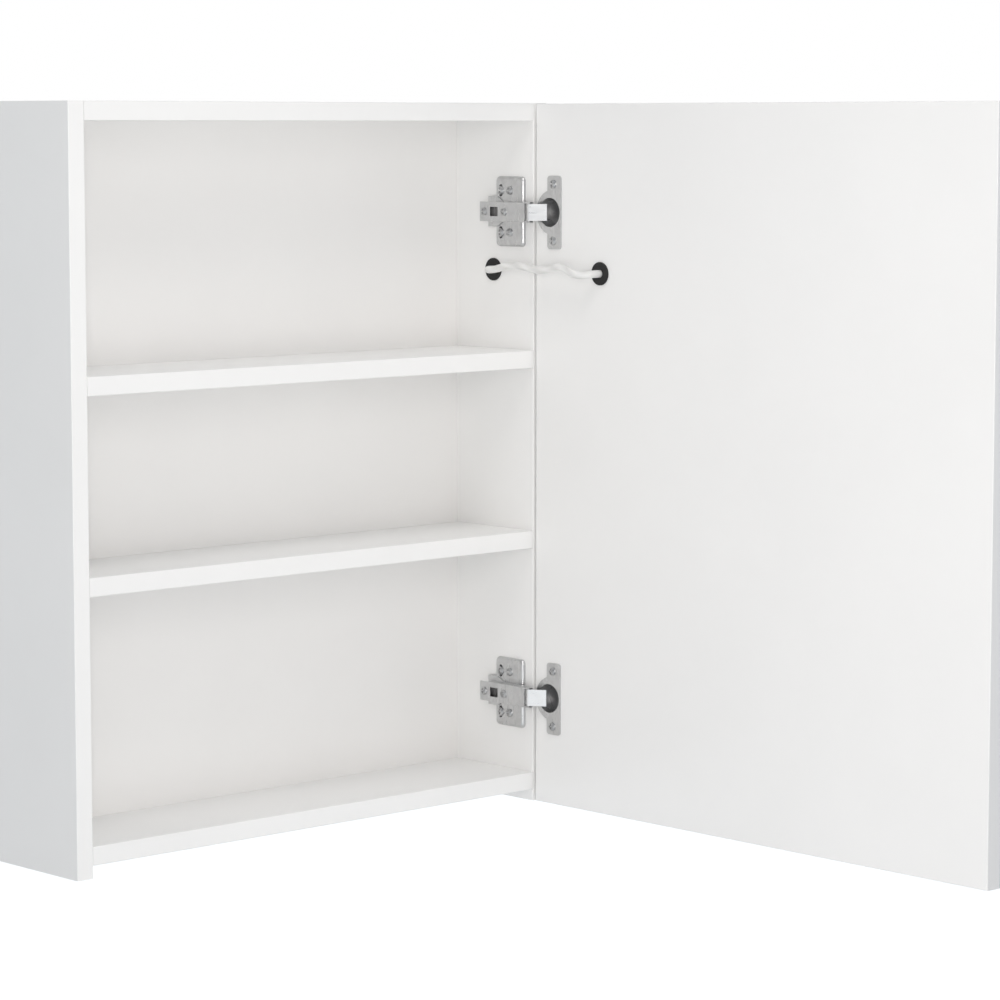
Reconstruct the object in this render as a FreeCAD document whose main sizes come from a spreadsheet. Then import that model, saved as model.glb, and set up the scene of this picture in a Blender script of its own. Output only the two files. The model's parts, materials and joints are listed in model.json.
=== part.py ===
import FreeCAD, Part
import math
import os
import re

import Sketcher
from FreeCAD import Vector

os.makedirs("parts", exist_ok=True)
doc = FreeCAD.newDocument("mirror_cabinet")

# Driving sizes in millimetres. X is to the right, Y to the wall, Z up.
# The origin is midway between the two keyholes, on the wall.
SIZES = (
    # carcass
    ("width", 500),
    ("height", 600),
    ("depth", 118),
    ("board", 15),
    ("skirt", 10),
    ("end_bay", 195),
    ("back_inset", 97),
    ("back_sheet", 5),
    ("groove_depth", 5),
    ("groove_play", 0.05),
    ("edge_round", 0.8),
    # joinery
    ("dowel_radius", 4),
    ("dowel_long", 30),
    ("dowel_in_side", 10),
    ("dowel_first", 22),
    ("dowel_last", 76),
    ("cam_place", 49),
    ("cam_radius", 7.5),
    ("cam_tall", 12),
    ("cam_back", 24),
    ("cam_slot_deep", 1.2),
    ("bolt_radius", 3),
    ("fit_play", 0.05),
    ("end_play", 0.3),
    # wall hanging
    ("hanger_drop", 45),
    ("hanger_wide", 60),
    ("hanger_tall", 65),
    ("hanger_sheet", 2),
    ("hanger_round", 6),
    ("key_inset", 37.5),
    ("key_radius", 5),
    ("key_slot", 5),
    ("key_rise", 12),
    ("wall_pad_radius", 6),
    ("wall_pad_up", 30),
    # screws
    ("screw_head", 3.6),
    ("screw_dome", 1.9),
    ("screw_radius", 1.7),
    ("screw_long", 12),
    ("cross_long", 4.4),
    ("cross_wide", 1.0),
    ("cross_share", 0.6),
    ("dome_wall", 0.45),
    ("dome_flat", 0.55),
    ("hanger_screw_dome", 1.2),
    ("hanger_sink", 1.3),
    ("arm_screw_head", 3.5),
    ("arm_screw_radius", 2),
    ("arm_screw_long", 10),
    # door
    ("glass", 3),
    ("door_gap", 3),
    ("overlay", 13),
    ("free_reach", 2),
    ("end_reveal", 0.5),
    ("open_inset", 0.2),
    ("open_step", 3),
    ("led_inset", 78),
    ("led_slot", 14),
    ("led_deep", 8),
    ("led_long", 500),
    ("led_sheet", 1.6),
    ("led_chip", 3.5),
    ("led_chip_tall", 1.0),
    ("led_pitch", 16.6),
    ("diffuser", 2.5),
    ("wire_slot", 8),
    ("wire_deep", 4),
    ("ribbon_wide", 6),
    ("ribbon_sheet", 1.2),
    # concealed hinges
    ("hinge_inset", 92),
    ("cup_radius", 13.5),
    ("cup_edge", 4.2),
    ("cup_depth", 12.6),
    ("cup_wall", 1.2),
    ("cup_play", 0.1),
    ("flange_sheet", 1.2),
    ("flange_tall", 62),
    ("flange_near", 2.7),
    ("flange_far", 13.6),
    ("rim_radius", 18.9),
    ("rim_shift", 2.8),
    ("flange_round", 3),
    ("cup_screw_pitch", 48),
    ("cup_screw_off", 4.3),
    ("wing_near", 9.5),
    ("wing_far", 44.5),
    ("wing_tall", 60),
    ("wing_sheet", 3.4),
    ("wing_corner", 4),
    ("wing_round", 3),
    ("riser_near", 12),
    ("riser_far", 52),
    ("riser_tall", 26),
    ("riser_top", 5),
    ("riser_round", 1.2),
    ("shoulder_near", 33),
    ("shoulder_step", 7),
    ("slot_line", 37),
    ("hole_line", 26),
    ("slot_long", 6.5),
    ("plate_pitch", 36),
    ("arm_top", 13.2),
    ("arm_sheet", 1.2),
    ("arm_half", 8.6),
    ("arm_rear", 44),
    ("arm_tab_end", 53),
    ("arm_tab_half", 8.3),
    ("arm_nose", 7.8),
    ("arm_open", 2.4),
    ("arm_window_at", 35.5),
    ("arm_window_long", 9.5),
    ("arm_window_wide", 8),
    ("depth_screw_at", 48),
    ("side_screw_at", 23),
    ("pivot_in", 10),
    ("pivot_out", 5),
    ("pin_radius", 1.2),
    ("link_wide", 14.2),
    ("link_sheet", 1.8),
    ("strap_in", 9.4),
    ("strap_out", 12.5),
    ("link_offset", 5),
    ("eye_radius", 2),
    ("knuckle_radius", 1.4),
    ("knuckle_wide", 7),
    ("link_pin_radius", 0.8),
    # lamp lead and its grommets
    ("lead_drop", 142),
    ("lead_in", 49.5),
    ("lead_radius", 3.2),
    ("lead_play", 0.2),
    ("grommet_radius", 9.7),
    ("grommet_lip", 1.2),
    ("grommet_neck", 7),
    ("lead_hold", 6),
    ("lead_exit", 10.5),
    ("lead_entry", 8.5),
    ("lead_clear", 14),
    ("lead_lean", 1),
    ("lead_wave", 6.5),
    ("lead_share", 0.45),
)
NAMES = {name for name, _ in SIZES}
sheet = doc.addObject("Spreadsheet::Sheet", "Sizes")
for row, (name, value) in enumerate(SIZES, 1):
    sheet.set(f"A{row}", name)
    sheet.set(f"B{row}", str(value))
    sheet.setAlias(f"B{row}", name)
doc.recompute()

# Places that several pieces share, as formulas of the sizes.
FRONT = "(-depth - hanger_sheet)"
BOTTOM = "(hanger_drop - height)"
INNER = "(width - 2 * board)"
SIDE = "(width / 2 - board)"
SHELF_TOP = "(hanger_drop - board - end_bay)"
FLOOR_TOP = "(hanger_drop - height + skirt + board)"
LEVELS = {
    "top_panel": "(hanger_drop - board)",
    "upper_shelf": f"({SHELF_TOP} - board)",
    "lower_shelf": f"({FLOOR_TOP} + end_bay)",
    "bottom_panel": f"({FLOOR_TOP} - board)",
}
HINGES = {"upper": "(hanger_drop - hinge_inset)", "lower": f"({BOTTOM} + hinge_inset)"}
DOOR_WIDE = "(width - board + overlay + free_reach)"
DOOR_TALL = "(height - 2 * end_reveal)"
DOOR_FACE = f"({SIDE} + open_inset)"
DOOR_EDGE = f"({FRONT} - open_step)"
CUP_Y = f"({DOOR_EDGE} - cup_edge - cup_radius)"
LEAD_Z = "(hanger_drop - lead_drop)"
LEAD_PANEL_Y = f"({FRONT} + lead_in)"
LEAD_DOOR_Y = f"({DOOR_EDGE} - led_inset)"


def sized(formula):
    """Turn the size names in a formula into references to the sheet."""
    return re.sub(r"[a-z_]+", lambda m: "Sizes." + m[0] if m[0] in NAMES else m[0], str(formula))


def number(formula):
    return float(sheet.evalExpression(sized(formula)))


# Small helpers for bodies, sketches and features


def body(label, x="0", y="0", z="0"):
    made = doc.addObject("PartDesign::Body", "Body")
    made.Label = label
    place(made, x, y, z)
    return made


def place(made, x, y, z):
    for axis, formula in zip("xyz", (x, y, z)):
        made.setExpression(f"Placement.Base.{axis}", sized(formula))


def plane(owner, role):
    return next(f for f in owner.Origin.OriginFeatures if f.Role == role)


def sketch(owner, role, offset="0"):
    drawn = owner.newObject("Sketcher::SketchObject", "Sketch")
    drawn.AttachmentSupport = [(plane(owner, role), "")]
    drawn.MapMode = "FlatFace"
    drawn.setExpression("AttachmentOffset.Base.z", sized(offset))
    return drawn


def bind(drawn, kind, formula, *where):
    spot = drawn.addConstraint(Sketcher.Constraint(kind, *where, number(formula)))
    drawn.setExpression(f"Constraints[{spot}]", sized(formula))


def pin_down(drawn, item, end, x, y):
    bind(drawn, "DistanceX", x, -1, 1, item, end)
    bind(drawn, "DistanceY", y, -1, 1, item, end)


def outline(drawn, corners):
    """A closed outline of straight sides through corners."""
    spots = [Vector(number(x), number(y), 0) for x, y in corners]
    sides = []
    for start, end, (x, y) in zip(spots, spots[1:] + spots[:1], corners):
        sides.append(drawn.addGeometry(Part.LineSegment(start, end)))
        pin_down(drawn, sides[-1], 1, x, y)
    for side, after in zip(sides, sides[1:] + sides[:1]):
        drawn.addConstraint(Sketcher.Constraint("Coincident", side, 2, after, 1))


def rectangle(drawn, x0, y0, x1, y1):
    outline(drawn, [(x0, y0), (x1, y0), (x1, y1), (x0, y1)])


def circle(drawn, x, y, radius):
    ring = Part.Circle(Vector(number(x), number(y), 0), Vector(0, 0, 1), number(radius))
    item = drawn.addGeometry(ring)
    pin_down(drawn, item, 3, x, y)
    bind(drawn, "Radius", radius, item)


def pad(owner, drawn, length, reverse=False, middle=False):
    made = owner.newObject("PartDesign::Pad", "Pad")
    made.Profile = drawn
    made.setExpression("Length", sized(length))
    made.Reversed = reverse
    made.Midplane = middle
    doc.recompute()
    return made


def pocket(owner, drawn, length, reverse=False, middle=False):
    """Cut the sketch into the body, against the sketch's normal unless reversed."""
    doc.recompute()
    before = owner.Shape.Volume
    made = owner.newObject("PartDesign::Pocket", "Pocket")
    made.Profile = drawn
    made.setExpression("Length", sized(length))
    made.Reversed = reverse
    made.Midplane = middle
    doc.recompute()
    if owner.Shape.Volume > before - 1e-6:
        raise RuntimeError(f"a pocket of {owner.Label} cuts nothing")
    return made


def mirror(owner, features, role):
    made = owner.newObject("PartDesign::Mirrored", "Mirrored")
    made.Originals = features
    made.MirrorPlane = (plane(owner, role), [""])
    owner.Tip = made
    doc.recompute()
    return made


def round_edges(owner, radius, wanted):
    """Round the edges of the body's last feature that wanted() picks by their own shape."""
    doc.recompute()
    tip = owner.Tip
    names = [f"Edge{i}" for i, edge in enumerate(tip.Shape.Edges, 1) if wanted(edge)]
    if not names:
        raise RuntimeError(f"no edges to round on {owner.Label}")
    made = owner.newObject("PartDesign::Fillet", "Fillet")
    made.Base = (tip, names)
    made.setExpression("Radius", sized(radius))
    doc.recompute()
    return made


def turned(owner, corners):
    """A solid turned about the body's Z axis from a profile of radius and height."""
    drawn = sketch(owner, "XZ_Plane")
    outline(drawn, corners)
    made = owner.newObject("PartDesign::Revolution", "Revolution")
    made.Profile = drawn
    made.ReferenceAxis = (drawn, ["V_Axis"])
    made.Angle = 360
    doc.recompute()
    return made


def copy(source, x, y, z, axis=None, angle=0):
    """One more of a piece, turned about an axis and set at x, y, z."""
    made = doc.addObject("App::Link", "Copy")
    made.LinkedObject = source
    if axis is not None:
        made.Placement = FreeCAD.Placement(Vector(), FreeCAD.Rotation(axis, angle))
    place(made, x, y, z)
    return made


def group(label, copies):
    made = doc.addObject("Part::Compound", "Group")
    made.Label = label
    made.Links = copies
    doc.recompute()
    return made


def straight(edge, way):
    return isinstance(edge.Curve, Part.Line) and abs(edge.tangentAt(edge.FirstParameter).dot(way)) > 0.999


EAST, NORTH, UP = Vector(1, 0, 0), Vector(0, 1, 0), Vector(0, 0, 1)
pieces = []

# Boards that run across between the sides: top, bottom and two shelves


def dowel_marks(drawn, high):
    """The two dowel circles of one board end, at a height in the sketch."""
    for along in ("dowel_first", "dowel_last"):
        circle(drawn, along, high, "dowel_radius + fit_play")


def bolt_mark(drawn, high):
    circle(drawn, "cam_place", high, "bolt_radius + fit_play")


def cross_board(label, deep, cams_on_top):
    made = body(label, "0", FRONT, LEVELS[label])
    face = sketch(made, "XY_Plane")
    rectangle(face, f"-{INNER} / 2", "0", f"{INNER} / 2", deep)
    pad(made, face, "board")
    dowels = sketch(made, "YZ_Plane", f"{INNER} / 2")
    dowel_marks(dowels, "board / 2")
    deep_dowels = pocket(made, dowels, "dowel_long - dowel_in_side + end_play")
    bolts = sketch(made, "YZ_Plane", f"{INNER} / 2")
    bolt_mark(bolts, "board / 2")
    deep_bolts = pocket(made, bolts, "cam_back")
    cams = sketch(made, "XY_Plane", "board" if cams_on_top else "0")
    circle(cams, f"{INNER} / 2 - cam_back", "cam_place", "cam_radius + fit_play")
    deep_cams = pocket(made, cams, "cam_tall + end_play", reverse=not cams_on_top)
    mirror(made, [deep_dowels, deep_bolts, deep_cams], "YZ_Plane")
    pieces.append(made)
    return made


def front_edges(edge):
    return straight(edge, EAST) and abs(edge.CenterOfMass.y) < 1e-6


def back_groove(made, offset, reverse):
    drawn = sketch(made, "XY_Plane", offset)
    rectangle(drawn, f"-{INNER} / 2", "back_inset - groove_play", f"{INNER} / 2",
              "back_inset + back_sheet + groove_play")
    pocket(made, drawn, "groove_depth", reverse)


top_panel = cross_board("top_panel", "depth", True)
back_groove(top_panel, "0", True)
bottom_panel = cross_board("bottom_panel", "depth", False)
back_groove(bottom_panel, "board", False)
cross_board("upper_shelf", "back_inset - groove_play", False)
cross_board("lower_shelf", "back_inset - groove_play", False)


def hanger_spots(sign):
    """Where the three screws of a hanger go: two into the side's edge, one into the top's."""
    side = f"{sign} * (width / 2 - board / 2)"
    inner = f"{sign} * (width / 2 - hanger_wide + 2 * screw_head)"
    return (
        (side, "hanger_drop - board"),
        (side, "hanger_drop - hanger_tall + 2 * screw_head"),
        (inner, "hanger_drop - board / 2"),
    )


# Pilot holes for the hangers in the rear edge of the top
pilots = sketch(top_panel, "XZ_Plane", "-depth")
for sign in ("1", "-1"):
    x, z = hanger_spots(sign)[2]
    circle(pilots, x, f"{z} - {LEVELS['top_panel']}", "screw_radius + fit_play")
pocket(top_panel, pilots, "screw_long + end_play", reverse=True)
for made in pieces:
    round_edges(made, "edge_round", front_edges)

# Sides


def side_panel(label, sign):
    right = sign == "1"
    made = body(label, SIDE if right else f"-{SIDE} - board", FRONT, BOTTOM)
    face = sketch(made, "YZ_Plane")
    rectangle(face, "0", "0", "depth", "height")
    pad(made, face, "board")
    inside = "0" if right else "board"
    holes = sketch(made, "YZ_Plane", inside)
    for level in LEVELS.values():
        dowel_marks(holes, f"{level} + board / 2 - {BOTTOM}")
        bolt_mark(holes, f"{level} + board / 2 - {BOTTOM}")
    pocket(made, holes, "dowel_in_side + end_play", right)
    groove = sketch(made, "YZ_Plane", inside)
    rectangle(groove, "back_inset - groove_play", f"{FLOOR_TOP} - groove_depth - {BOTTOM}",
              "back_inset + back_sheet + groove_play", "height - board + groove_depth")
    pocket(made, groove, "groove_depth", right)
    pilots = sketch(made, "XZ_Plane", "-depth")
    for x, z in hanger_spots(sign)[:2]:
        circle(pilots, "board / 2", f"{z} - {BOTTOM}", "screw_radius + fit_play")
    pocket(made, pilots, "screw_long + end_play", reverse=True)
    pieces.append(made)
    return made


left_side = side_panel("left_side_panel", "-1")
right_side = side_panel("right_side_panel", "1")
marks = sketch(right_side, "YZ_Plane")
for level in HINGES.values():
    for line in ("slot_line", "hole_line"):
        for half in ("1", "-1"):
            circle(marks, line, f"{level} + {half} * plate_pitch / 2 - {BOTTOM}", "screw_radius + fit_play")
pocket(right_side, marks, "screw_long - wing_sheet + end_play", True)
gland = sketch(right_side, "YZ_Plane")
circle(gland, "lead_in", f"{LEAD_Z} - {BOTTOM}", "grommet_neck + fit_play")
pocket(right_side, gland, "board", True)


def side_rim(edge):
    """The four long edges round a side's front edge face."""
    spot = edge.CenterOfMass
    return straight(edge, UP) and abs(spot.y) < 1e-6


for made in (left_side, right_side):
    round_edges(made, "edge_round", side_rim)

# Back panel, held in the grooves
back = body("back_panel", "0", f"{FRONT} + back_inset + back_sheet",
            f"{FLOOR_TOP} - groove_depth + end_play")
face = sketch(back, "XZ_Plane")
half_back = f"({INNER} / 2 + groove_depth - end_play)"
rectangle(face, f"-{half_back}", "0", half_back,
          "height - skirt - 2 * board + 2 * (groove_depth - end_play)")
pad(back, face, "back_sheet")
pieces.append(back)

# Dowels, cam locks and cam bolts of the eight board ends
dowel = body("dowel_pattern")
face = sketch(dowel, "XY_Plane")
circle(face, "0", "0", "dowel_radius")
pad(dowel, face, "dowel_long")
round_edges(dowel, "edge_round", lambda edge: isinstance(edge.Curve, Part.Circle))
bolt = body("bolt_pattern")
face = sketch(bolt, "XY_Plane")
circle(face, "0", "0", "bolt_radius")
pad(bolt, face, "dowel_in_side + cam_back - cam_radius - end_play")
cam = body("cam_pattern")
face = sketch(cam, "XY_Plane")
circle(face, "0", "0", "cam_radius")
pad(cam, face, "cam_tall")
face = sketch(cam, "XY_Plane", "cam_tall")
rectangle(face, "-cross_long / 2", "-cross_wide / 2", "cross_long / 2", "cross_wide / 2")
pocket(cam, face, "cam_slot_deep")
dowels, bolts, cams = [], [], []
for label, level in LEVELS.items():
    middle = f"{level} + board / 2"
    for sign, turn in (("1", -90), ("-1", 90)):
        start = f"{sign} * ({SIDE} + dowel_in_side)"
        for along in ("dowel_first", "dowel_last"):
            dowels.append(copy(dowel, start, f"{FRONT} + {along}", middle, NORTH, turn))
        bolts.append(copy(bolt, start, f"{FRONT} + cam_place", middle, NORTH, turn))
        spot = f"{sign} * ({SIDE} - cam_back)"
        if label == "top_panel":
            cams.append(copy(cam, spot, f"{FRONT} + cam_place", f"{level} + board - cam_tall"))
        else:
            cams.append(copy(cam, spot, f"{FRONT} + cam_place", f"{level} + cam_tall", EAST, 180))
pieces += [group("wood_dowels", dowels), group("cam_bolts", bolts), group("cam_locks", cams)]

# Screws with a domed head and a crossed recess. The head's seat is at Z 0 and the shank points down.


def cross(drawn):
    long, wide = "cross_long / 2", "cross_wide / 2"
    quarter = [(long, wide), (wide, wide), (wide, long)]
    corners = []
    for turn in range(4):
        for x, y in quarter:
            for _ in range(turn):
                x, y = f"-({y})", x
            corners.append((x, y))
    outline(drawn, corners)


def screw(label, head, radius, long, dome):
    made = body(label)
    turned(made, [("0", f"-{long}"), (radius, f"-{long}"), (radius, "0"), (head, "0"),
                  (head, f"{dome} * dome_wall"), (f"{head} * dome_flat", dome), ("0", dome)])
    recess = sketch(made, "XY_Plane", dome)
    cross(recess)
    pocket(made, recess, f"{dome} * cross_share")
    return made


wood_screw = screw("wood_screw_pattern", "screw_head", "screw_radius", "screw_long", "screw_dome")
low_screw = screw("low_screw_pattern", "screw_head", "screw_radius", "screw_long", "hanger_screw_dome")
arm_screw = screw("arm_screw_pattern", "arm_screw_head", "arm_screw_radius", "arm_screw_long", "screw_dome")

# Keyhole hangers on the rear edges, with their screws and two pads that keep the cabinet level
hanger_screws = []
for label, sign in (("left_hanger", "-1"), ("right_hanger", "1")):
    made = body(label, "0", "0", "0")
    face = sketch(made, "XZ_Plane")
    outer, inner = f"{sign} * width / 2", f"{sign} * (width / 2 - hanger_wide)"
    rectangle(face, outer, "hanger_drop - hanger_tall", inner, "hanger_drop")
    pad(made, face, "hanger_sheet")
    key = f"{sign} * (width / 2 - key_inset)"
    hole = sketch(made, "XZ_Plane")
    circle(hole, key, "0", "key_radius")
    pocket(made, hole, "hanger_sheet", reverse=True)
    slot = sketch(made, "XZ_Plane")
    rectangle(slot, f"{key} - key_slot / 2", "0", f"{key} + key_slot / 2", "key_rise")
    pocket(made, slot, "hanger_sheet", reverse=True)
    seat = sketch(made, "XZ_Plane")
    circle(seat, key, "key_rise", "key_slot / 2")
    pocket(made, seat, "hanger_sheet", reverse=True)
    holes = sketch(made, "XZ_Plane")
    for x, z in hanger_spots(sign):
        circle(holes, x, z, "screw_radius + fit_play")
    pocket(made, holes, "hanger_sheet", reverse=True)
    sinks = sketch(made, "XZ_Plane")
    for x, z in hanger_spots(sign):
        circle(sinks, x, z, "screw_head + end_play")
    pocket(made, sinks, "hanger_sink", reverse=True)
    lowest = number("hanger_drop - hanger_tall")
    round_edges(made, "hanger_round",
                lambda edge: straight(edge, NORTH) and abs(edge.CenterOfMass.z - lowest) < 1e-6)
    pieces.append(made)
    for x, z in hanger_spots(sign):
        hanger_screws.append(copy(low_screw, x, "-hanger_sink", z, EAST, -90))
wall_pad = body("wall_pad_pattern")
face = sketch(wall_pad, "XY_Plane")
circle(face, "0", "0", "wall_pad_radius")
pad(wall_pad, face, "hanger_sheet")
pads = [copy(wall_pad, f"{sign} * (width / 2 - board / 2)", "0", f"{BOTTOM} + wall_pad_up", EAST, 90)
        for sign in ("1", "-1")]
pieces += [group("hanger_screws", hanger_screws), group("wall_pads", pads)]

# Door board: it stands open at a right angle, so its width runs along Y
door = body("door_panel", DOOR_FACE, DOOR_EDGE, f"{BOTTOM} + end_reveal")
face = sketch(door, "YZ_Plane")
rectangle(face, f"-{DOOR_WIDE}", "0", "0", DOOR_TALL)
pad(door, face, "board")
DOOR_LOW = f"({BOTTOM} + end_reveal)"
cups = sketch(door, "YZ_Plane")
for level in HINGES.values():
    circle(cups, "-cup_edge - cup_radius", f"{level} - {DOOR_LOW}", "cup_radius + cup_play")
pocket(door, cups, "cup_depth + end_play", True)
holes = sketch(door, "YZ_Plane")
for level in HINGES.values():
    for half in ("1", "-1"):
        circle(holes, "-cup_edge - cup_radius - cup_screw_off",
               f"{level} + {half} * cup_screw_pitch / 2 - {DOOR_LOW}", "screw_radius + fit_play")
pocket(door, holes, "screw_long - flange_sheet + end_play", True)
gland = sketch(door, "YZ_Plane")
circle(gland, "-led_inset", f"{LEAD_Z} - {DOOR_LOW}", "grommet_neck + fit_play")
pocket(door, gland, "board", True)
LED_LOW = f"({DOOR_TALL} / 2 - led_long / 2)"
slots = sketch(door, "YZ_Plane", "board")
for centre in ("-led_inset", f"(led_inset - {DOOR_WIDE})"):
    rectangle(slots, f"{centre} - led_slot / 2", LED_LOW, f"{centre} + led_slot / 2",
              f"{LED_LOW} + led_long")
pocket(door, slots, "led_deep")
wire = sketch(door, "YZ_Plane", "board")
wire_low = f"({LEAD_Z} - {DOOR_LOW} - wire_slot / 2)"
rectangle(wire, f"led_inset + led_slot / 2 - {DOOR_WIDE}", wire_low, "-led_inset - led_slot / 2",
          f"{wire_low} + wire_slot")
pocket(door, wire, "wire_deep")


def door_rim(edge):
    """The edges round the door's inner face."""
    spot = edge.CenterOfMass
    wide, tall = number(DOOR_WIDE), number(DOOR_TALL)
    outer = min(abs(spot.y), abs(spot.y + wide), abs(spot.z), abs(spot.z - tall)) < 1e-6
    return outer and abs(spot.x) < 1e-6 and isinstance(edge.Curve, Part.Line)


round_edges(door, "edge_round", door_rim)
pieces.append(door)

# Mirror glass on the front of the door board
mirror_glass = body("mirror_glass", f"{DOOR_FACE} + board", DOOR_EDGE, DOOR_LOW)
face = sketch(mirror_glass, "YZ_Plane")
rectangle(face, f"-{DOOR_WIDE}", "0", "0", DOOR_TALL)
pad(mirror_glass, face, "glass")
pieces.append(mirror_glass)

# Lamps behind the glass: strips with chips, opal diffusers and the flat lead between them
LED_COUNT = int(number("(led_long - 2 * led_pitch) / led_pitch")) + 1
for side, centre in (("hinge_side", "-led_inset"), ("free_side", f"(led_inset - {DOOR_WIDE})")):
    floor = f"{DOOR_FACE} + board - led_deep"
    strip = body(f"{side}_led_strip", floor, f"{DOOR_EDGE} + {centre}", f"{DOOR_LOW} + {LED_LOW} + end_play")
    face = sketch(strip, "YZ_Plane")
    rectangle(face, "-led_slot / 2 + 1.5 * end_play", "0", "led_slot / 2 - 1.5 * end_play",
              "led_long - 2 * end_play")
    pad(strip, face, "led_sheet")
    chips = sketch(strip, "YZ_Plane", "led_sheet")
    rectangle(chips, "-led_chip / 2", "led_pitch - led_chip / 2", "led_chip / 2", "led_pitch + led_chip / 2")
    chip = pad(strip, chips, "led_chip_tall")
    row_of = strip.newObject("PartDesign::LinearPattern", "Row")
    row_of.Originals = [chip]
    row_of.Direction = (chips, ["V_Axis"])
    row_of.setExpression("Length", sized(f"led_pitch * {LED_COUNT - 1}"))
    row_of.Occurrences = LED_COUNT
    strip.Tip = row_of
    doc.recompute()
    opal = body(f"{side}_diffuser", f"{DOOR_FACE} + board - diffuser", f"{DOOR_EDGE} + {centre}",
                f"{DOOR_LOW} + {LED_LOW} + end_play")
    face = sketch(opal, "YZ_Plane")
    rectangle(face, "-led_slot / 2 + end_play", "0", "led_slot / 2 - end_play", "led_long - 2 * end_play")
    pad(opal, face, "diffuser")
    pieces += [strip, opal]
ribbon = body("led_ribbon", f"{DOOR_FACE} + board - wire_deep", DOOR_EDGE, LEAD_Z)
face = sketch(ribbon, "YZ_Plane")
rectangle(face, f"led_inset + led_slot / 2 + end_play - {DOOR_WIDE}", "-ribbon_wide / 2",
          "-led_inset - led_slot / 2 - end_play", "ribbon_wide / 2")
pad(ribbon, face, "ribbon_sheet")
pieces.append(ribbon)

# Concealed hinges. Their plane sketches use X from the side's inner face and Y from the carcass front.
POLE_X = "((open_inset - door_gap + open_step + overlay) / 2)"
POLE_Y = "((open_inset - door_gap - open_step - overlay) / 2)"
PIVOT_X, PIVOT_Y = "(-pivot_in)", "(-pivot_out)"
TURN = f"(atan2({PIVOT_Y} - {POLE_Y}; {PIVOT_X} - {POLE_X}) + 45 deg)"
END_X = f"({POLE_X} + link_offset * cos({TURN}))"
END_Y = f"({POLE_Y} + link_offset * sin({TURN}))"
STRAP = "sqrt(strap_in^2 + strap_out^2)"
ALONG_X, ALONG_Y = f"(strap_in / {STRAP})", f"(-strap_out / {STRAP})"
LEG_AT = f"(({END_X} - {PIVOT_X}) * {ALONG_X} + ({END_Y} - {PIVOT_Y}) * {ALONG_Y})"
LEG_DEEP = f"(({PIVOT_Y} - {END_Y}) * {ALONG_X} + ({END_X} - {PIVOT_X}) * {ALONG_Y})"


def on_strap(along, out):
    """A point beside the arm's pin: along the link's strap, and out from it away from the door."""
    return (f"{PIVOT_X} + ({along}) * {ALONG_X} + ({out}) * {ALONG_Y}",
            f"{PIVOT_Y} + ({along}) * {ALONG_Y} - ({out}) * {ALONG_X}")


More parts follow.
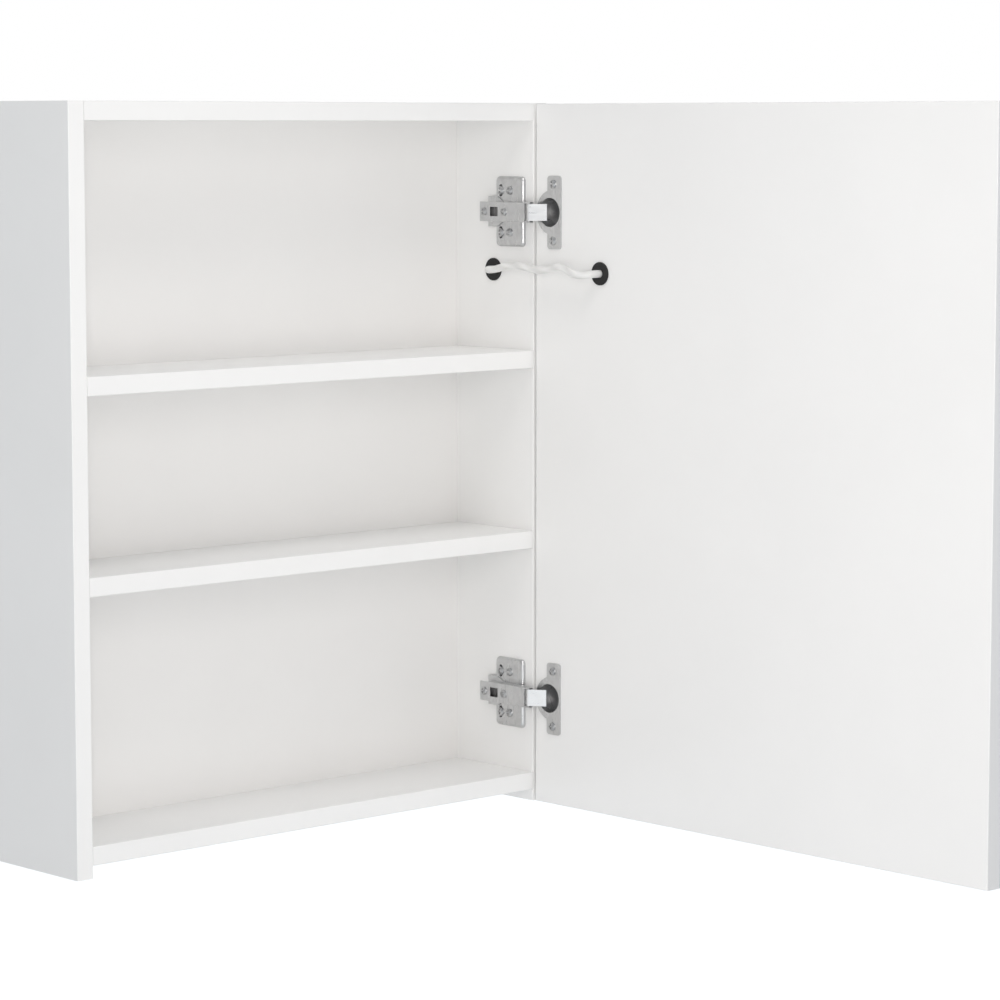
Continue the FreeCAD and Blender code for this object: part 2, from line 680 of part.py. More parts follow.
def hinge(name, level):
    x, y = SIDE, FRONT

    # wing plate on the side panel
    plate = body(f"{name}_hinge_plate", x, y, level)
    face = sketch(plate, "YZ_Plane")
    rectangle(face, "wing_near", "-wing_tall / 2", "wing_far", "wing_tall / 2")
    pad(plate, face, "wing_sheet", reverse=True)
    round_edges(plate, "wing_corner", lambda edge: straight(edge, EAST))
    low = number("-wing_sheet")
    round_edges(plate, "wing_round", lambda edge: abs(edge.CenterOfMass.x - low) < 1e-6)
    face = sketch(plate, "YZ_Plane", "-wing_sheet / 2")
    outline(face, [
        ("riser_near", "-arm_half"),
        ("shoulder_near", "-arm_half"),
        ("shoulder_near + shoulder_step", "-riser_tall / 2"),
        ("riser_far", "-riser_tall / 2"),
        ("riser_far", "riser_tall / 2"),
        ("shoulder_near + shoulder_step", "riser_tall / 2"),
        ("shoulder_near", "arm_half"),
        ("riser_near", "arm_half"),
    ])
    pad(plate, face, "riser_top - wing_sheet / 2", reverse=True)
    ridge = number("-riser_top")
    round_edges(plate, "riser_round", lambda edge: abs(edge.CenterOfMass.x - ridge) < 1e-6)
    holes = sketch(plate, "YZ_Plane")
    for half in ("1", "-1"):
        circle(holes, "hole_line", f"{half} * plate_pitch / 2", "screw_radius + end_play")
    pocket(plate, holes, "wing_sheet", reverse=False)
    ends = sketch(plate, "YZ_Plane")
    for half in ("1", "-1"):
        for end in ("1", "-1"):
            high = f"{half} * plate_pitch / 2 + {end} * slot_long / 2"
            circle(ends, "slot_line", high, "screw_radius + end_play")
    pocket(plate, ends, "wing_sheet", reverse=False)
    middles = sketch(plate, "YZ_Plane")
    for half in ("1", "-1"):
        low, high = (f"{half} * plate_pitch / 2 {way} slot_long / 2" for way in "-+")
        rectangle(middles, "slot_line - screw_radius - end_play", low,
                  "slot_line + screw_radius + end_play", high)
    pocket(plate, middles, "wing_sheet", reverse=False)
    threads = sketch(plate, "YZ_Plane")
    for spot in ("depth_screw_at", "side_screw_at"):
        circle(threads, spot, "0", "arm_screw_radius + fit_play")
    pocket(plate, threads, "riser_top", reverse=False)
    pieces.append(plate)
    pieces.append(group(f"{name}_plate_screws", [
        copy(wood_screw, f"{x} - wing_sheet", f"{y} + {line}", f"{level} + {half} * plate_pitch / 2",
             NORTH, -90)
        for line in ("slot_line", "hole_line") for half in ("1", "-1")]))

    # arm: a channel with two cheeks that hold the pivot pin
    arm = body(f"{name}_hinge_arm", x, y, level)
    face = sketch(arm, "XY_Plane")
    outline(face, [
        ("-arm_top", "arm_rear"),
        ("-arm_top", "-arm_open"),
        ("-pivot_in - eye_radius", "-arm_nose"),
        ("-pivot_in + eye_radius", "-arm_nose"),
        ("-pivot_in + eye_radius + 2 * arm_sheet", "-arm_open"),
        ("-riser_top", "riser_near / 3"),
        ("-riser_top", "arm_rear"),
    ])
    pad(arm, face, "2 * arm_half", middle=True)
    channel = sketch(arm, "XY_Plane")
    outline(channel, [
        ("-arm_top - 1", "-arm_open"),
        ("-arm_top - 1", "-arm_nose - 1"),
        ("0", "-arm_nose - 1"),
        ("0", "arm_rear - arm_sheet"),
        ("arm_sheet - arm_top", "arm_rear - arm_sheet"),
        ("arm_sheet - arm_top", "-arm_open"),
    ])
    pocket(arm, channel, "2 * (arm_half - arm_sheet)", middle=True)
    tab = sketch(arm, "YZ_Plane", "-arm_top")
    rectangle(tab, "arm_rear - arm_sheet", "-arm_tab_half", "arm_tab_end", "arm_tab_half")
    pad(arm, tab, "arm_sheet")
    tops = sketch(arm, "YZ_Plane", "-arm_top")
    for spot in ("depth_screw_at", "side_screw_at"):
        circle(tops, spot, "0", "arm_screw_radius + fit_play")
    rectangle(tops, "arm_window_at - arm_window_long / 2", "-arm_window_wide / 2",
              "arm_window_at + arm_window_long / 2", "arm_window_wide / 2")
    pocket(arm, tops, "arm_sheet", reverse=True)
    pins = sketch(arm, "XY_Plane")
    circle(pins, PIVOT_X, PIVOT_Y, "pin_radius + fit_play")
    pocket(arm, pins, "3 * arm_half", middle=True)
    ridge = number("-arm_top")
    half = number("arm_half")
    round_edges(arm, "edge_round",
                lambda edge: straight(edge, NORTH) and abs(edge.CenterOfMass.x - ridge) < 1e-6
                and abs(abs(edge.CenterOfMass.z) - half) < 1e-6)
    pieces.append(arm)
    pieces.append(group(f"{name}_arm_screws", [
        copy(arm_screw, f"{x} - arm_top", f"{y} + {spot}", level, NORTH, -90)
        for spot in ("depth_screw_at", "side_screw_at")]))
    pin = body(f"{name}_arm_pin", f"{x} + {PIVOT_X}", f"{y} + {PIVOT_Y}", level)
    face = sketch(pin, "XY_Plane")
    circle(face, "0", "0", "pin_radius")
    pad(pin, face, "2 * arm_half", middle=True)
    pieces.append(pin)

    # link: a strap with an eye on the arm's pin and a leg that ends in a knuckle in the cup
    link = body(f"{name}_hinge_link", x, y, level)
    face = sketch(link, "XY_Plane")
    outline(face, [
        on_strap("0", "eye_radius"),
        on_strap(STRAP, "eye_radius"),
        on_strap(STRAP, "eye_radius - link_sheet"),
        on_strap("0", "eye_radius - link_sheet"),
    ])
    pad(link, face, "link_wide", middle=True)
    leg = sketch(link, "XY_Plane")
    outline(leg, [
        on_strap(f"{LEG_AT} - link_sheet / 2", "eye_radius - link_sheet / 2"),
        on_strap(f"{LEG_AT} + link_sheet / 2", "eye_radius - link_sheet / 2"),
        on_strap(f"{LEG_AT} + link_sheet / 2", LEG_DEEP),
        on_strap(f"{LEG_AT} - link_sheet / 2", LEG_DEEP),
    ])
    pad(link, leg, "knuckle_wide", middle=True)
    eye = sketch(link, "XY_Plane")
    circle(eye, PIVOT_X, PIVOT_Y, "eye_radius")
    pad(link, eye, "link_wide", middle=True)
    knuckle = sketch(link, "XY_Plane")
    circle(knuckle, END_X, END_Y, "knuckle_radius")
    pad(link, knuckle, "knuckle_wide", middle=True)
    bores = sketch(link, "XY_Plane")
    circle(bores, PIVOT_X, PIVOT_Y, "pin_radius + fit_play")
    circle(bores, END_X, END_Y, "link_pin_radius + fit_play")
    pocket(link, bores, "2 * link_wide", middle=True)
    pieces.append(link)
    pin = body(f"{name}_link_pin", f"{x} + {END_X}", f"{y} + {END_Y}", level)
    face = sketch(pin, "XY_Plane")
    circle(face, "0", "0", "link_pin_radius")
    pad(pin, face, "knuckle_wide", middle=True)
    pieces.append(pin)

    # cup let into the door, with its flange and screws
    cup = body(f"{name}_hinge_cup", DOOR_FACE, CUP_Y, level)
    face = sketch(cup, "YZ_Plane")
    circle(face, "-rim_shift", "0", "rim_radius")
    pad(cup, face, "flange_sheet", reverse=True)
    face = sketch(cup, "YZ_Plane")
    rectangle(face, "-flange_far", "-flange_tall / 2", "flange_near", "flange_tall / 2")
    pad(cup, face, "flange_sheet", reverse=True)
    tall = number("flange_tall / 2")
    round_edges(cup, "flange_round",
                lambda edge: straight(edge, EAST) and abs(abs(edge.CenterOfMass.z) - tall) < 1e-6)
    trim = sketch(cup, "YZ_Plane")
    rectangle(trim, "-2 * rim_radius", "-rim_radius", "-flange_far", "rim_radius")
    pocket(cup, trim, "flange_sheet")
    face = sketch(cup, "YZ_Plane")
    circle(face, "0", "0", "cup_radius")
    pad(cup, face, "cup_depth")
    hollow = sketch(cup, "YZ_Plane", "-flange_sheet")
    circle(hollow, "0", "0", "cup_radius - cup_wall")
    pocket(cup, hollow, "flange_sheet + cup_depth - cup_wall", reverse=True)
    holes = sketch(cup, "YZ_Plane")
    for half in ("1", "-1"):
        circle(holes, "-cup_screw_off", f"{half} * cup_screw_pitch / 2", "screw_radius + fit_play")
    pocket(cup, holes, "flange_sheet")
    pieces.append(cup)
    pieces.append(group(f"{name}_cup_screws", [
        copy(wood_screw, f"{DOOR_FACE} - flange_sheet", f"{CUP_Y} - cup_screw_off",
             f"{level} + {half} * cup_screw_pitch / 2", NORTH, -90) for half in ("1", "-1")]))


for name, level in HINGES.items():
    hinge(name, level)

# Grommets: rubber rings that the lamp lead passes through
panel_grommet = body("panel_grommet", SIDE, LEAD_PANEL_Y, LEAD_Z)
bore, lip = "lead_radius + lead_play", "grommet_lip"
turned(panel_grommet, [
    (bore, f"-{lip}"), ("grommet_radius", f"-{lip}"), ("grommet_radius", "0"), ("grommet_neck", "0"),
    ("grommet_neck", "board"), ("grommet_radius", "board"), ("grommet_radius", f"board + {lip}"),
    (bore, f"board + {lip}"),
])
door_grommet = body("door_grommet", DOOR_FACE, LEAD_DOOR_Y, LEAD_Z)
turned(door_grommet, [
    (bore, f"-{lip}"), ("grommet_radius", f"-{lip}"), ("grommet_radius", "0"), ("grommet_neck", "0"),
    ("grommet_neck", "board - led_deep - end_play"), (bore, "board - led_deep - end_play"),
])
for made in (panel_grommet, door_grommet):
    made.Placement.Rotation = FreeCAD.Rotation(NORTH, 90)
    pieces.append(made)

# Lamp lead: straight runs joined by tangent arcs, from one grommet to the other
LEAD_RUN = f"({LEAD_PANEL_Y} - {LEAD_DOOR_Y})"
# each bend between the grommets: eighths of the run, shares of the lean and of the wave
BENDS = ((1, -1, 0.05), (2.1, 0, 0.75), (3.2, 0, 0.65), (4.3, 1, 0.12), (5.3, 0.5, 0.62), (6.1, 0, 0.85),
         (7.05, 0, -0.32))
ROUTE = [
    (f"{SIDE} + lead_hold", LEAD_PANEL_Y, LEAD_Z),
    (f"{SIDE} - lead_exit", LEAD_PANEL_Y, LEAD_Z),
]
for step, lean, rise in BENDS:
    ROUTE.append((f"{SIDE} - lead_clear + {lean} * lead_lean", f"{LEAD_PANEL_Y} - {LEAD_RUN} * {step} / 8",
                  f"{LEAD_Z} + {rise} * lead_wave"))
ROUTE += [
    (f"{DOOR_FACE} - lead_entry", LEAD_DOOR_Y, LEAD_Z),
    (f"{DOOR_FACE} + lead_hold", LEAD_DOOR_Y, LEAD_Z),
]
route = [Vector(*(number(part) for part in point)) for point in ROUTE]
edges, last, radii = [], route[0], []
for before, corner, after in zip(route, route[1:], route[2:]):
    come, leave = (corner - before).normalize(), (after - corner).normalize()
    half_turn = math.acos(max(-1.0, min(1.0, come.dot(leave)))) / 2
    back_off = number("lead_share") * min((corner - before).Length, (after - corner).Length)
    radius = back_off / math.tan(half_turn)
    start, end = corner - come * back_off, corner + leave * back_off
    inward = (leave - come).normalize()
    apex = corner + inward * (radius / math.cos(half_turn) - radius)
    edges += [Part.LineSegment(last, start).toShape(), Part.Arc(start, apex, end).toShape()]
    radii.append(round(radius, 1))
    last = end
edges.append(Part.LineSegment(last, route[-1]).toShape())
path = Part.Wire(edges)
ring = Part.Wire(Part.Circle(route[0], route[1] - route[0], number("lead_radius")).toShape())
lead = doc.addObject("Part::Feature", "Lead")
lead.Label = "lamp_lead"
lead.Shape = path.makePipeShell([ring], True, False)
section = math.pi * number("lead_radius") ** 2
share = lead.Shape.Volume / (section * path.Length)
print("lead radii", radii, "length", round(path.Length, 1), "volume share", round(share, 4))
for point in route:
    print("lead point", *(round(part, 2) for part in point))
pieces.append(lead)

# Checks, then one file per piece
doc.recompute()
for item in doc.Objects:
    if {"Invalid", "Error"} & set(item.State):
        raise RuntimeError(f"{item.Label} ({item.Name}) is {item.State}")
for made in pieces:
    if made.Shape.isNull() or not made.Shape.isValid():
        raise RuntimeError(f"{made.Label} has a bad shape")
    made.Shape.exportStep(f"parts/{made.Label}.step")
print(len(pieces), "pieces written")
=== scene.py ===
import json
import math

import bmesh
import bpy
from mathutils import Matrix, Vector


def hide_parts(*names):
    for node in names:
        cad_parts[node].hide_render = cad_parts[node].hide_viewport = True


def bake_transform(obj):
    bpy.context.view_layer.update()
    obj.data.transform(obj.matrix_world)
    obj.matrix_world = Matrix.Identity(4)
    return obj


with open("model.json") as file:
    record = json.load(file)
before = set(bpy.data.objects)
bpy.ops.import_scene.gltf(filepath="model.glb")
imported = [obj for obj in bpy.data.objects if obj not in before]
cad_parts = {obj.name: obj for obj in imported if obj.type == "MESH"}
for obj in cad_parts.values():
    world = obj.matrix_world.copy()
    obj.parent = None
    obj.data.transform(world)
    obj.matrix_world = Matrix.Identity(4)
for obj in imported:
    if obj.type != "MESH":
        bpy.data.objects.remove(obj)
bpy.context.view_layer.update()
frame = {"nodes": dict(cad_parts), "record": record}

scene = bpy.context.scene
NODES = frame["nodes"]
MM = 0.001

# The studio: its floor, its softboxes in watts, and the grading of the surround's light
FLOOR_Z = -1.75
KEY_POWER, TOP_POWER, DOOR_POWER, RIM_POWER = 16.2, 6.9, 0.64, 12.0
SKY_MEAN, SKY_ACROSS, SKY_DEPTH, SKY_UP, SKY_LEAST = 0.24, 0.03, 0.03, 0.40, 0.1
WARM = (1.0, 0.955, 0.92)

# Places of the lamps behind the mirror, in metres
LAMP_Y = (-0.201, -0.545)
LAMP_HALF_WIDE, LAMP_LOW_Z, LAMP_HIGH_Z = 0.007, -0.5047, -0.0053
CHIP_PITCH = 8.3 * MM

# Places on the two hinges
HINGE_Z = (-0.047, -0.463)
CUP_RIM_X, WINDOW_Y, DOOR_HINGE_Y = 0.2354, -0.083, -0.123

# The lamp's lead, from the side panel's grommet to the door's
LEAD_RADIUS, LEAD_LENGTH, LEAD_TWIST = 3.2 * MM, 0.1611, 22.0 * MM
LEAD_ROUTE = [
    (0.2410, -0.0705, -0.0970),
    (0.2245, -0.0705, -0.0970),
    (0.2200, -0.0868, -0.0967),
    (0.2210, -0.1048, -0.0921),
    (0.2210, -0.1227, -0.0928),
    (0.2220, -0.1406, -0.0962),
    (0.2215, -0.1570, -0.0930),
    (0.2210, -0.1700, -0.0915),
    (0.2210, -0.1855, -0.0991),
    (0.2267, -0.2010, -0.0970),
    (0.2412, -0.2010, -0.0970),
]


# A small layer over the node trees


class Net:
    """One material's nodes, with the few operations that the materials below share."""

    def __init__(self, name, base, rough, metal=0.0):
        self.mat = bpy.data.materials.new(name)
        self.mat.use_nodes = True
        self.tree = self.mat.node_tree
        self.bsdf = self.tree.nodes["Principled BSDF"]
        self.set("Base Color", (*base, 1.0))
        self.set("Roughness", rough)
        self.set("Metallic", metal)
        self.place = self.new("ShaderNodeTexCoord").outputs["Object"]

    def new(self, kind, **props):
        node = self.tree.nodes.new(kind)
        for key, value in props.items():
            setattr(node, key, value)
        return node

    def set(self, socket, value):
        """Put a constant or a link on a socket of the shader."""
        self.feed(self.bsdf.inputs[socket], value)

    def feed(self, socket, value):
        if isinstance(value, bpy.types.NodeSocket):
            self.tree.links.new(value, socket)
        else:
            socket.default_value = value

    def stretched(self, x, y, z):
        node = self.new("ShaderNodeMapping")
        node.inputs["Scale"].default_value = (x, y, z)
        self.feed(node.inputs["Vector"], self.place)
        return node.outputs["Vector"]

    def noise(self, scale, detail=3.0, rough=0.55, where=None):
        node = self.new("ShaderNodeTexNoise")
        self.feed(node.inputs["Vector"], where or self.place)
        node.inputs["Scale"].default_value = scale
        node.inputs["Detail"].default_value = detail
        node.inputs["Roughness"].default_value = rough
        return node.outputs["Fac"]

    def math(self, operation, *values):
        node = self.new("ShaderNodeMath", operation=operation)
        for socket, value in zip(node.inputs, values):
            self.feed(socket, value)
        return node.outputs["Value"]

    def span(self, value, low, high, to_low=0.0, to_high=1.0):
        node = self.new("ShaderNodeMapRange")
        for socket, what in zip(node.inputs, (value, low, high, to_low, to_high)):
            self.feed(socket, what)
        return node.outputs["Result"]

    def mix(self, share, a, b):
        node = self.new("ShaderNodeMix", data_type="RGBA")
        self.feed(node.inputs[0], share)
        for socket, colour in ((node.inputs[6], a), (node.inputs[7], b)):
            self.feed(socket, colour if isinstance(colour, bpy.types.NodeSocket) else (*colour, 1.0))
        return node.outputs[2]

    def axes(self):
        node = self.new("ShaderNodeSeparateXYZ")
        self.feed(node.inputs[0], self.place)
        return node.outputs

    def facing(self):
        """The surface's own direction, in the piece's frame."""
        node = self.new("ShaderNodeSeparateXYZ")
        self.feed(node.inputs[0], self.new("ShaderNodeTexCoord").outputs["Normal"])
        return node.outputs

    def near(self, value, centre, half, soft):
        """1 within half of the centre, falling to 0 over soft."""
        away = self.math("ABSOLUTE", self.math("SUBTRACT", value, centre))
        return self.span(away, half, half + soft, 1.0, 0.0)

    def bump(self, height, strength, distance):
        node = self.new("ShaderNodeBump")
        node.inputs["Strength"].default_value = strength
        node.inputs["Distance"].default_value = distance
        self.feed(node.inputs["Height"], height)
        self.set("Normal", node.outputs["Normal"])


# Materials


def board(name, base, dull_and_shade):
    """Matt white foil: a fine pearl grain, faint blotches and slightly duller patches."""
    net = Net(name, base, 0.5)
    grain = net.noise(2600.0, 2.0)
    blotch = net.noise(9.0, 4.0)
    net.set("Base Color", net.mix(net.span(blotch, 0.35, 0.7), base, dull_and_shade))
    net.set("Roughness", net.span(blotch, 0.3, 0.7, 0.44, 0.54))
    net.bump(grain, 0.12, 0.00006)
    return net.mat


def door_board(name, base, dull_and_shade, band):
    """The same foil, with an edge band of a greyer white round the door, except at the hinges."""
    net = Net(name, base, 0.5)
    blotch = net.noise(9.0, 4.0)
    flat = net.math("ABSOLUTE", net.facing()["X"])
    foil = net.mix(net.span(blotch, 0.35, 0.7), base, dull_and_shade)
    banded = net.math("MULTIPLY", net.span(flat, 0.4, 0.6, 1.0, 0.0),
                      net.span(net.axes()["Y"], DOOR_HINGE_Y - 2.0 * MM, DOOR_HINGE_Y - 1.0 * MM, 1.0, 0.0))
    net.set("Base Color", net.mix(banded, foil, band))
    net.set("Roughness", net.span(blotch, 0.3, 0.7, 0.44, 0.54))
    net.bump(net.noise(2600.0, 2.0), 0.12, 0.00006)
    return net.mat


def mirror(name):
    """Silvered glass with two frosted bands over the lamps, faint smears and green polished edges."""
    net = Net(name, (0.78, 0.81, 0.80), 0.02, 1.0)
    deep, tall = net.axes()[1:]
    lit = [net.near(deep, lamp, LAMP_HALF_WIDE, 0.0003) for lamp in LAMP_Y]
    band = net.math("MAXIMUM", *lit)
    middle, half = (LAMP_LOW_Z + LAMP_HIGH_Z) / 2, (LAMP_HIGH_Z - LAMP_LOW_Z) / 2
    band = net.math("MULTIPLY", band, net.near(tall, middle, half, 0.0003))
    flat = net.span(net.math("ABSOLUTE", net.facing()["X"]), 0.6, 0.8)
    silver = net.math("MULTIPLY", flat, net.math("SUBTRACT", 1.0, band))
    smear = net.span(net.noise(14.0, 6.0), 0.45, 0.75)
    bright = net.mix(smear, (0.78, 0.81, 0.80), (0.755, 0.785, 0.775))
    face = net.mix(band, bright, (0.84, 0.87, 0.865))
    net.set("Base Color", net.mix(flat, (0.36, 0.56, 0.49), face))
    net.set("Metallic", silver)
    frost = net.span(band, 0.0, 1.0, 0.02, 0.55)
    net.set("Roughness", net.math("MULTIPLY_ADD", smear, 0.006, frost))
    net.bump(net.noise(900.0, 2.0), 0.02, 0.00002)
    return net.mat


def led(name):
    """The lamps' strip: a white board with a row of yellow chips."""
    net = plastic_net(name, (0.80, 0.80, 0.76), (0.77, 0.76, 0.70), 0.5)
    tall = net.axes()["Z"]
    step = net.math("FRACT", net.math("DIVIDE", tall, CHIP_PITCH))
    chip = net.near(step, 0.5, 0.17, 0.02)
    net.set("Base Color", net.mix(chip, (0.80, 0.80, 0.76), (0.86, 0.66, 0.16)))
    return net.mat


def sheath(name):
    """A milky sheath over two twisted cores, which show through it as pale and darker turns."""
    net = Net(name, (0.80, 0.80, 0.79), 0.34)
    cores = net.new("ShaderNodeAttribute", attribute_name="core").outputs["Fac"]
    cloud = net.noise(300.0, 4.0)
    turns = net.mix(cores, (0.67, 0.67, 0.66), (0.79, 0.79, 0.78))
    net.set("Base Color", net.mix(net.span(cloud, 0.4, 0.8, 0.0, 0.5), turns, (0.74, 0.74, 0.73)))
    net.set("Roughness", net.span(cloud, 0.3, 0.7, 0.30, 0.42))
    net.set("Subsurface Weight", 0.6)
    net.set("Subsurface Radius", (1.0, 1.0, 1.0))
    net.set("Subsurface Scale", 0.006)
    net.bump(net.noise(1600.0, 2.0), 0.06, 0.00005)
    return net.mat


def steel(name, base, dark, rough, along=(60.0, 900.0, 60.0), inside=None, dull_and_shade=None):
    """Plated steel with drawn lines and small stains. Where inside gives a part of the hinge, its colour is
    darkened with painted shade and its roughness raised.
    """
    net = Net(name, base, rough, 1.0)
    lines = net.noise(1.0, 3.0, where=net.stretched(*along))
    stain = net.noise(160.0, 5.0)
    plate = net.mix(net.span(stain, 0.45, 0.75), base, dark)
    sheen = net.span(lines, 0.3, 0.7, rough - 0.05, rough + 0.08)
    if inside is not None:
        # Painted shade: the colour goes dark over the part of the hinge that inside gives.
        painted_shade = inside(net)
        plate = net.mix(painted_shade, plate, dull_and_shade)
        sheen = net.math("MAXIMUM", sheen, net.span(painted_shade, 0.0, 1.0, 0.0, 0.48))
    net.set("Base Color", plate)
    net.set("Roughness", sheen)
    net.bump(lines, 0.10, 0.00005)
    return net.mat


def rubber(name, base, pale):
    net = Net(name, base, 0.6)
    net.set("Specular IOR Level", 0.3)
    fine = net.noise(1800.0, 3.0)
    dust = net.noise(220.0, 5.0)
    net.set("Base Color", net.mix(net.span(dust, 0.5, 0.8), base, pale))
    net.set("Roughness", net.span(dust, 0.3, 0.7, 0.5, 0.68))
    net.bump(fine, 0.2, 0.00006)
    return net.mat


def plastic_net(name, base, dull_and_shade, rough):
    net = Net(name, base, rough)
    cloud = net.noise(120.0, 4.0)
    net.set("Base Color", net.mix(net.span(cloud, 0.35, 0.7), base, dull_and_shade))
    net.set("Roughness", net.span(cloud, 0.3, 0.7, rough - 0.04, rough + 0.06))
    net.bump(net.noise(1500.0, 2.0), 0.08, 0.00005)
    return net


def plastic(name, base, dull_and_shade, rough):
    return plastic_net(name, base, dull_and_shade, rough).mat


def wood(name):
    net = Net(name, (0.62, 0.44, 0.25), 0.6)
    rings = net.noise(1.0, 4.0, where=net.stretched(40.0, 700.0, 700.0))
    net.set("Base Color", net.mix(net.span(rings, 0.3, 0.7), (0.66, 0.48, 0.28), (0.5, 0.33, 0.17)))
    net.set("Roughness", net.span(rings, 0.3, 0.7, 0.55, 0.72))
    net.bump(rings, 0.2, 0.0001)
    return net.mat


def in_cup(net):
    """Where painted shade darkens the hollow of a hinge cup, below its flange: its floor wholly, its wall
    in part.
    """
    below = net.span(net.axes()["X"], CUP_RIM_X, CUP_RIM_X + 1.2 * MM)
    return net.math("MULTIPLY", below, net.span(net.facing()["X"], -0.9, -0.4, 1.0, 0.25))


def in_window(net):
    """The part of a hinge plate that shows through the arm's window, darkened with painted shade."""
    deep, tall = net.axes()[1:]
    rows = [net.near(tall, high, 5.0 * MM, 0.5 * MM) for high in HINGE_Z]
    return net.math("MULTIPLY", net.near(deep, WINDOW_Y, 6.5 * MM, 0.5 * MM), net.math("MAXIMUM", *rows))


FOIL, DULL_FOIL = (0.88, 0.88, 0.872), (0.865, 0.865, 0.857)
NICKEL, WORN_NICKEL = (0.61, 0.615, 0.62), (0.54, 0.545, 0.55)
FINISHES = {
    "white_board": board("white_foil", FOIL, DULL_FOIL),
    "back_board": board("back_foil", (0.865, 0.857, 0.845), (0.85, 0.842, 0.83)),
    "hinge_steel": steel("nickel_plate", NICKEL, WORN_NICKEL, 0.30),
    "screw_steel": steel("zinc_plate", (0.54, 0.545, 0.55), (0.44, 0.445, 0.45), 0.32),
    "cast_zinc": steel("bare_zinc", (0.42, 0.42, 0.42), (0.34, 0.34, 0.34), 0.45),
    "hanger_steel": steel("galvanised_steel", (0.52, 0.53, 0.54), (0.44, 0.45, 0.45), 0.38),
    "dowel_wood": wood("beech"),
    "grommet_rubber": rubber("black_rubber", (0.018, 0.018, 0.018), (0.036, 0.036, 0.036)),
    "pad_rubber": rubber("grey_rubber", (0.11, 0.11, 0.11), (0.16, 0.16, 0.16)),
    "ribbon_plastic": plastic("white_ribbon", (0.78, 0.78, 0.77), (0.74, 0.74, 0.73), 0.35),
    "opal_plastic": plastic("opal", (0.82, 0.82, 0.81), (0.79, 0.79, 0.78), 0.45),
    "led_board": led("led_row"),
    "mirror_glass": mirror("silvered_glass"),
    "lead_sheath": sheath("milky_sheath"),
}
# Painted shade: the cup's hollow is darkened to this grey.
CUP_STEEL = steel("cup_plate", NICKEL, WORN_NICKEL, 0.30, inside=in_cup, dull_and_shade=(0.34, 0.34, 0.345))
LINK_STEEL = steel("polished_link", (0.82, 0.825, 0.83), (0.78, 0.785, 0.79), 0.30, (60.0, 60.0, 700.0))
# Painted shade: the plate behind each arm's window is darkened to this near black.
PLATE_STEEL = steel("base_plate", NICKEL, WORN_NICKEL, 0.30, inside=in_window, dull_and_shade=(0.2, 0.2, 0.2))
EDGED_FOIL = door_board("edged_foil", FOIL, DULL_FOIL, (0.79, 0.79, 0.79))

OWN_FINISHES = {"door_panel": EDGED_FOIL}
for row in ("upper", "lower"):
    OWN_FINISHES[row + "_hinge_cup"] = CUP_STEEL
    OWN_FINISHES[row + "_hinge_plate"] = PLATE_STEEL
    OWN_FINISHES[row + "_hinge_link"] = LINK_STEEL

for subpart in frame["record"]["subparts"]:
    node = NODES[subpart["node"]]
    worn = OWN_FINISHES.get(node.name, FINISHES[subpart["material_slot"]])
    if not node.material_slots:
        node.data.materials.append(worn)
    for held in node.material_slots:
        held.material = worn


# The lamp's lead


def smooth_line(route, steps):
    """Points along the smooth curve that has the route as its control points."""
    line = bpy.data.curves.new("route", "CURVE")
    line.dimensions = "3D"
    line.resolution_u = steps
    run = line.splines.new("NURBS")
    run.points.add(len(route) - 1)
    for point, place in zip(run.points, route):
        point.co = (*place, 1.0)
    run.order_u = 3
    run.use_endpoint_u = True
    run.resolution_u = steps
    holder = bpy.data.objects.new("route", line)
    mesh = bpy.data.meshes.new_from_object(holder)
    points = [vertex.co.copy() for vertex in mesh.vertices]
    bpy.data.meshes.remove(mesh)
    bpy.data.objects.remove(holder)
    bpy.data.curves.remove(line)
    return points


def twisted_tube(name, points, radius, pitch, sides=24, lobe=0.03):
    """A closed tube along the points. Two lobes wind along it, one over each core."""
    mesh = bmesh.new()
    core = mesh.verts.layers.float.new("core")
    ahead = (points[1] - points[0]).normalized()
    up = ahead.orthogonal().normalized()
    gone, rings = 0.0, []
    for index, point in enumerate(points):
        before, after = points[max(index - 1, 0)], points[min(index + 1, len(points) - 1)]
        turn = ahead.rotation_difference((after - before).normalized())
        ahead, up = turn @ ahead, turn @ up
        gone += (point - before).length
        ring = []
        for side in range(sides):
            angle = 2.0 * math.pi * side / sides
            crest = math.cos(2.0 * (angle - math.pi * gone / pitch))
            reach = radius * (1.0 + lobe * (crest - 1.0) / 2.0)
            vertex = mesh.verts.new(point + Matrix.Rotation(angle, 3, ahead) @ up * reach)
            vertex[core] = (1.0 + crest) / 2.0
            ring.append(vertex)
        rings.append(ring)
    for near, far in zip(rings, rings[1:]):
        for side in range(sides):
            after = (side + 1) % sides
            mesh.faces.new((near[side], near[after], far[after], far[side])).smooth = True
    mesh.faces.new(reversed(rings[0]))
    mesh.faces.new(rings[-1])
    bmesh.ops.recalc_face_normals(mesh, faces=mesh.faces)
    data = bpy.data.meshes.new(name)
    mesh.to_mesh(data)
    mesh.free()
    piece = bpy.data.objects.new(name, data)
    scene.collection.objects.link(piece)
    return piece


lead_line = smooth_line(LEAD_ROUTE, 14)
lead = twisted_tube("lead", lead_line, LEAD_RADIUS, LEAD_TWIST)
lead.data.materials.append(FINISHES["lead_sheath"])
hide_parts("lamp_lead")
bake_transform(lead)

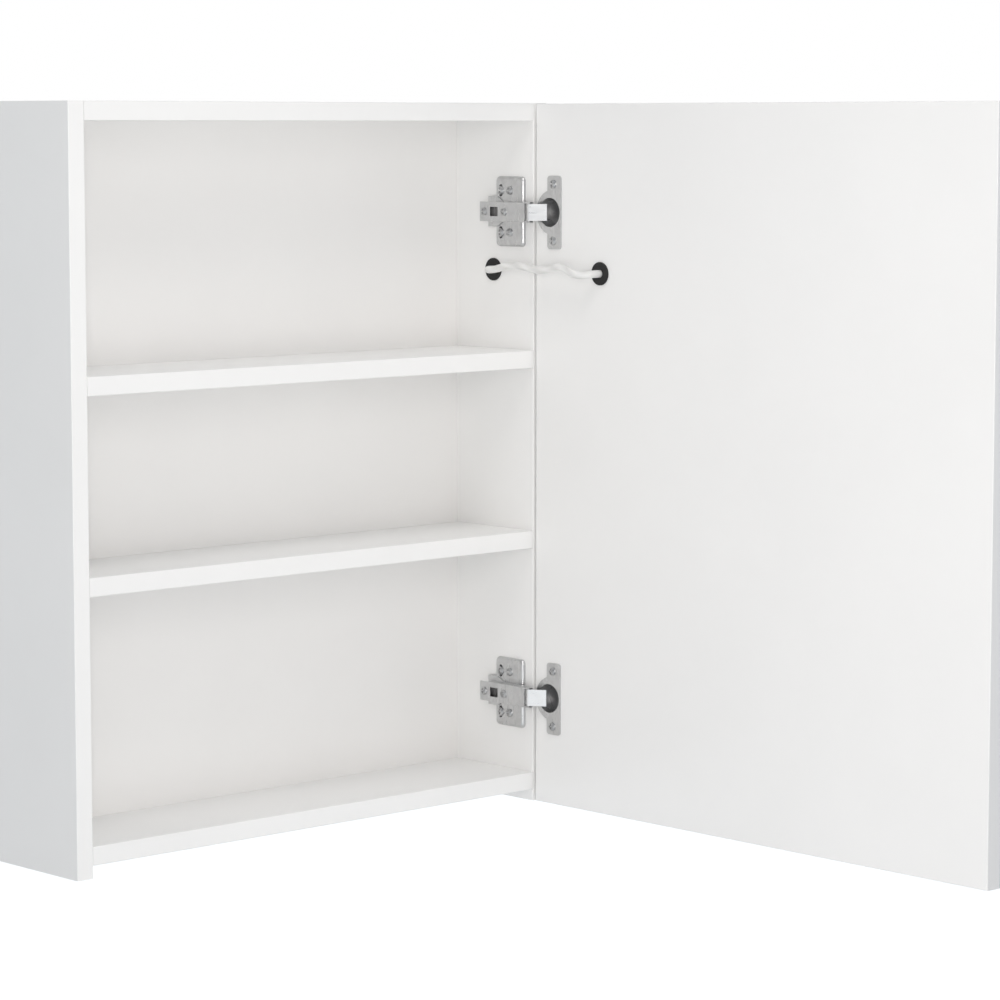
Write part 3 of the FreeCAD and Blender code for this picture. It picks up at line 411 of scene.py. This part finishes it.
# Stage: floor, light and camera. The floor is pale near the object and fades to the white surround.
bpy.ops.mesh.primitive_plane_add(size=80.0, location=(0.0, 0.0, FLOOR_Z))
floor = bpy.context.object
floor.name = "floor"
pale = Net("floor_pale", (0.92, 0.92, 0.92), 0.9)
away = pale.new("ShaderNodeVectorMath", operation="LENGTH")
pale.feed(away.inputs[0], pale.place)
fade = pale.span(away.outputs["Value"], 2.2, 4.2, 0.0, 1.1)
pale.set("Emission Color", (0.95, 0.98, 1.0, 1.0))
pale.set("Emission Strength", fade)
pale.set("Base Color", pale.mix(fade, (0.92, 0.92, 0.92), (0.0, 0.0, 0.0)))
pale.set("Specular IOR Level", 0.0)
floor.data.materials.append(pale.mat)

# The surround is plain white to the camera. As a light it is brightest from above.
world = bpy.data.worlds.new("studio")
scene.world = world
world.use_nodes = True
sky = world.node_tree


def sky_math(operation, a, b, c=0.0):
    node = sky.nodes.new("ShaderNodeMath")
    node.operation = operation
    for socket, value in zip(node.inputs, (a, b, c)):
        if isinstance(value, bpy.types.NodeSocket):
            sky.links.new(value, socket)
        else:
            socket.default_value = value
    return node.outputs["Value"]


way = sky.nodes.new("ShaderNodeSeparateXYZ")
sky.links.new(sky.nodes.new("ShaderNodeTexCoord").outputs["Generated"], way.inputs[0])
level = sky_math("MULTIPLY_ADD", way.outputs["X"], SKY_ACROSS, SKY_MEAN)
level = sky_math("MULTIPLY_ADD", way.outputs["Y"], SKY_DEPTH, level)
level = sky_math("MULTIPLY_ADD", way.outputs["Z"], SKY_UP, level)
ambient = sky.nodes["Background"]
ambient.inputs["Color"].default_value = (0.94, 0.975, 1.025, 1.0)
sky.links.new(sky_math("MAXIMUM", level, SKY_LEAST), ambient.inputs["Strength"])
plain = sky.nodes.new("ShaderNodeBackground")
plain.inputs["Color"].default_value = (1.0, 1.0, 1.0, 1.0)
both = sky.nodes.new("ShaderNodeMixShader")
sky.links.new(sky.nodes.new("ShaderNodeLightPath").outputs["Is Camera Ray"], both.inputs[0])
sky.links.new(ambient.outputs[0], both.inputs[1])
sky.links.new(plain.outputs[0], both.inputs[2])
sky.links.new(both.outputs[0], sky.nodes["World Output"].inputs["Surface"])


def softbox(name, place, target, width, height, power, tint=(1.0, 1.0, 1.0)):
    lamp = bpy.data.lights.new(name, "AREA")
    lamp.shape = "RECTANGLE"
    lamp.size, lamp.size_y = width, height
    lamp.energy = power
    lamp.color = tint
    box = bpy.data.objects.new(name, lamp)
    box.location = place
    box.rotation_euler = (Vector(target) - Vector(place)).to_track_quat("-Z", "Y").to_euler()
    box.visible_camera = False
    scene.collection.objects.link(box)
    return box


softbox("key_softbox", (-1.45, -1.95, 0.05), (0.0, -0.25, -0.25), 0.4, 1.4, KEY_POWER, WARM)
softbox("top_softbox", (-0.35, -0.85, 1.25), (0.0, -0.1, -0.3), 0.7, 0.7, TOP_POWER, WARM)
softbox("rim_softbox", (2.2, 1.3, 0.2), (0.25, -0.37, -0.25), 0.8, 1.8, RIM_POWER)
near_box = softbox("door_softbox", (-0.245, -0.70, -0.38), (0.2352, -0.50, -0.36), 0.6, 1.0,
                   DOOR_POWER, WARM)
near_box.visible_glossy = False

lens = bpy.data.cameras.new("camera")
lens.lens = 127.57
lens.sensor_width = 36.0
camera = bpy.data.objects.new("camera", lens)
camera.location = (-1.8465, -2.3131, 0.0264)
camera.rotation_euler = (math.radians(90.0 - 6.037), 0.0, math.radians(-42.964))
scene.collection.objects.link(camera)
scene.camera = camera
scene.view_settings.view_transform = "Standard"
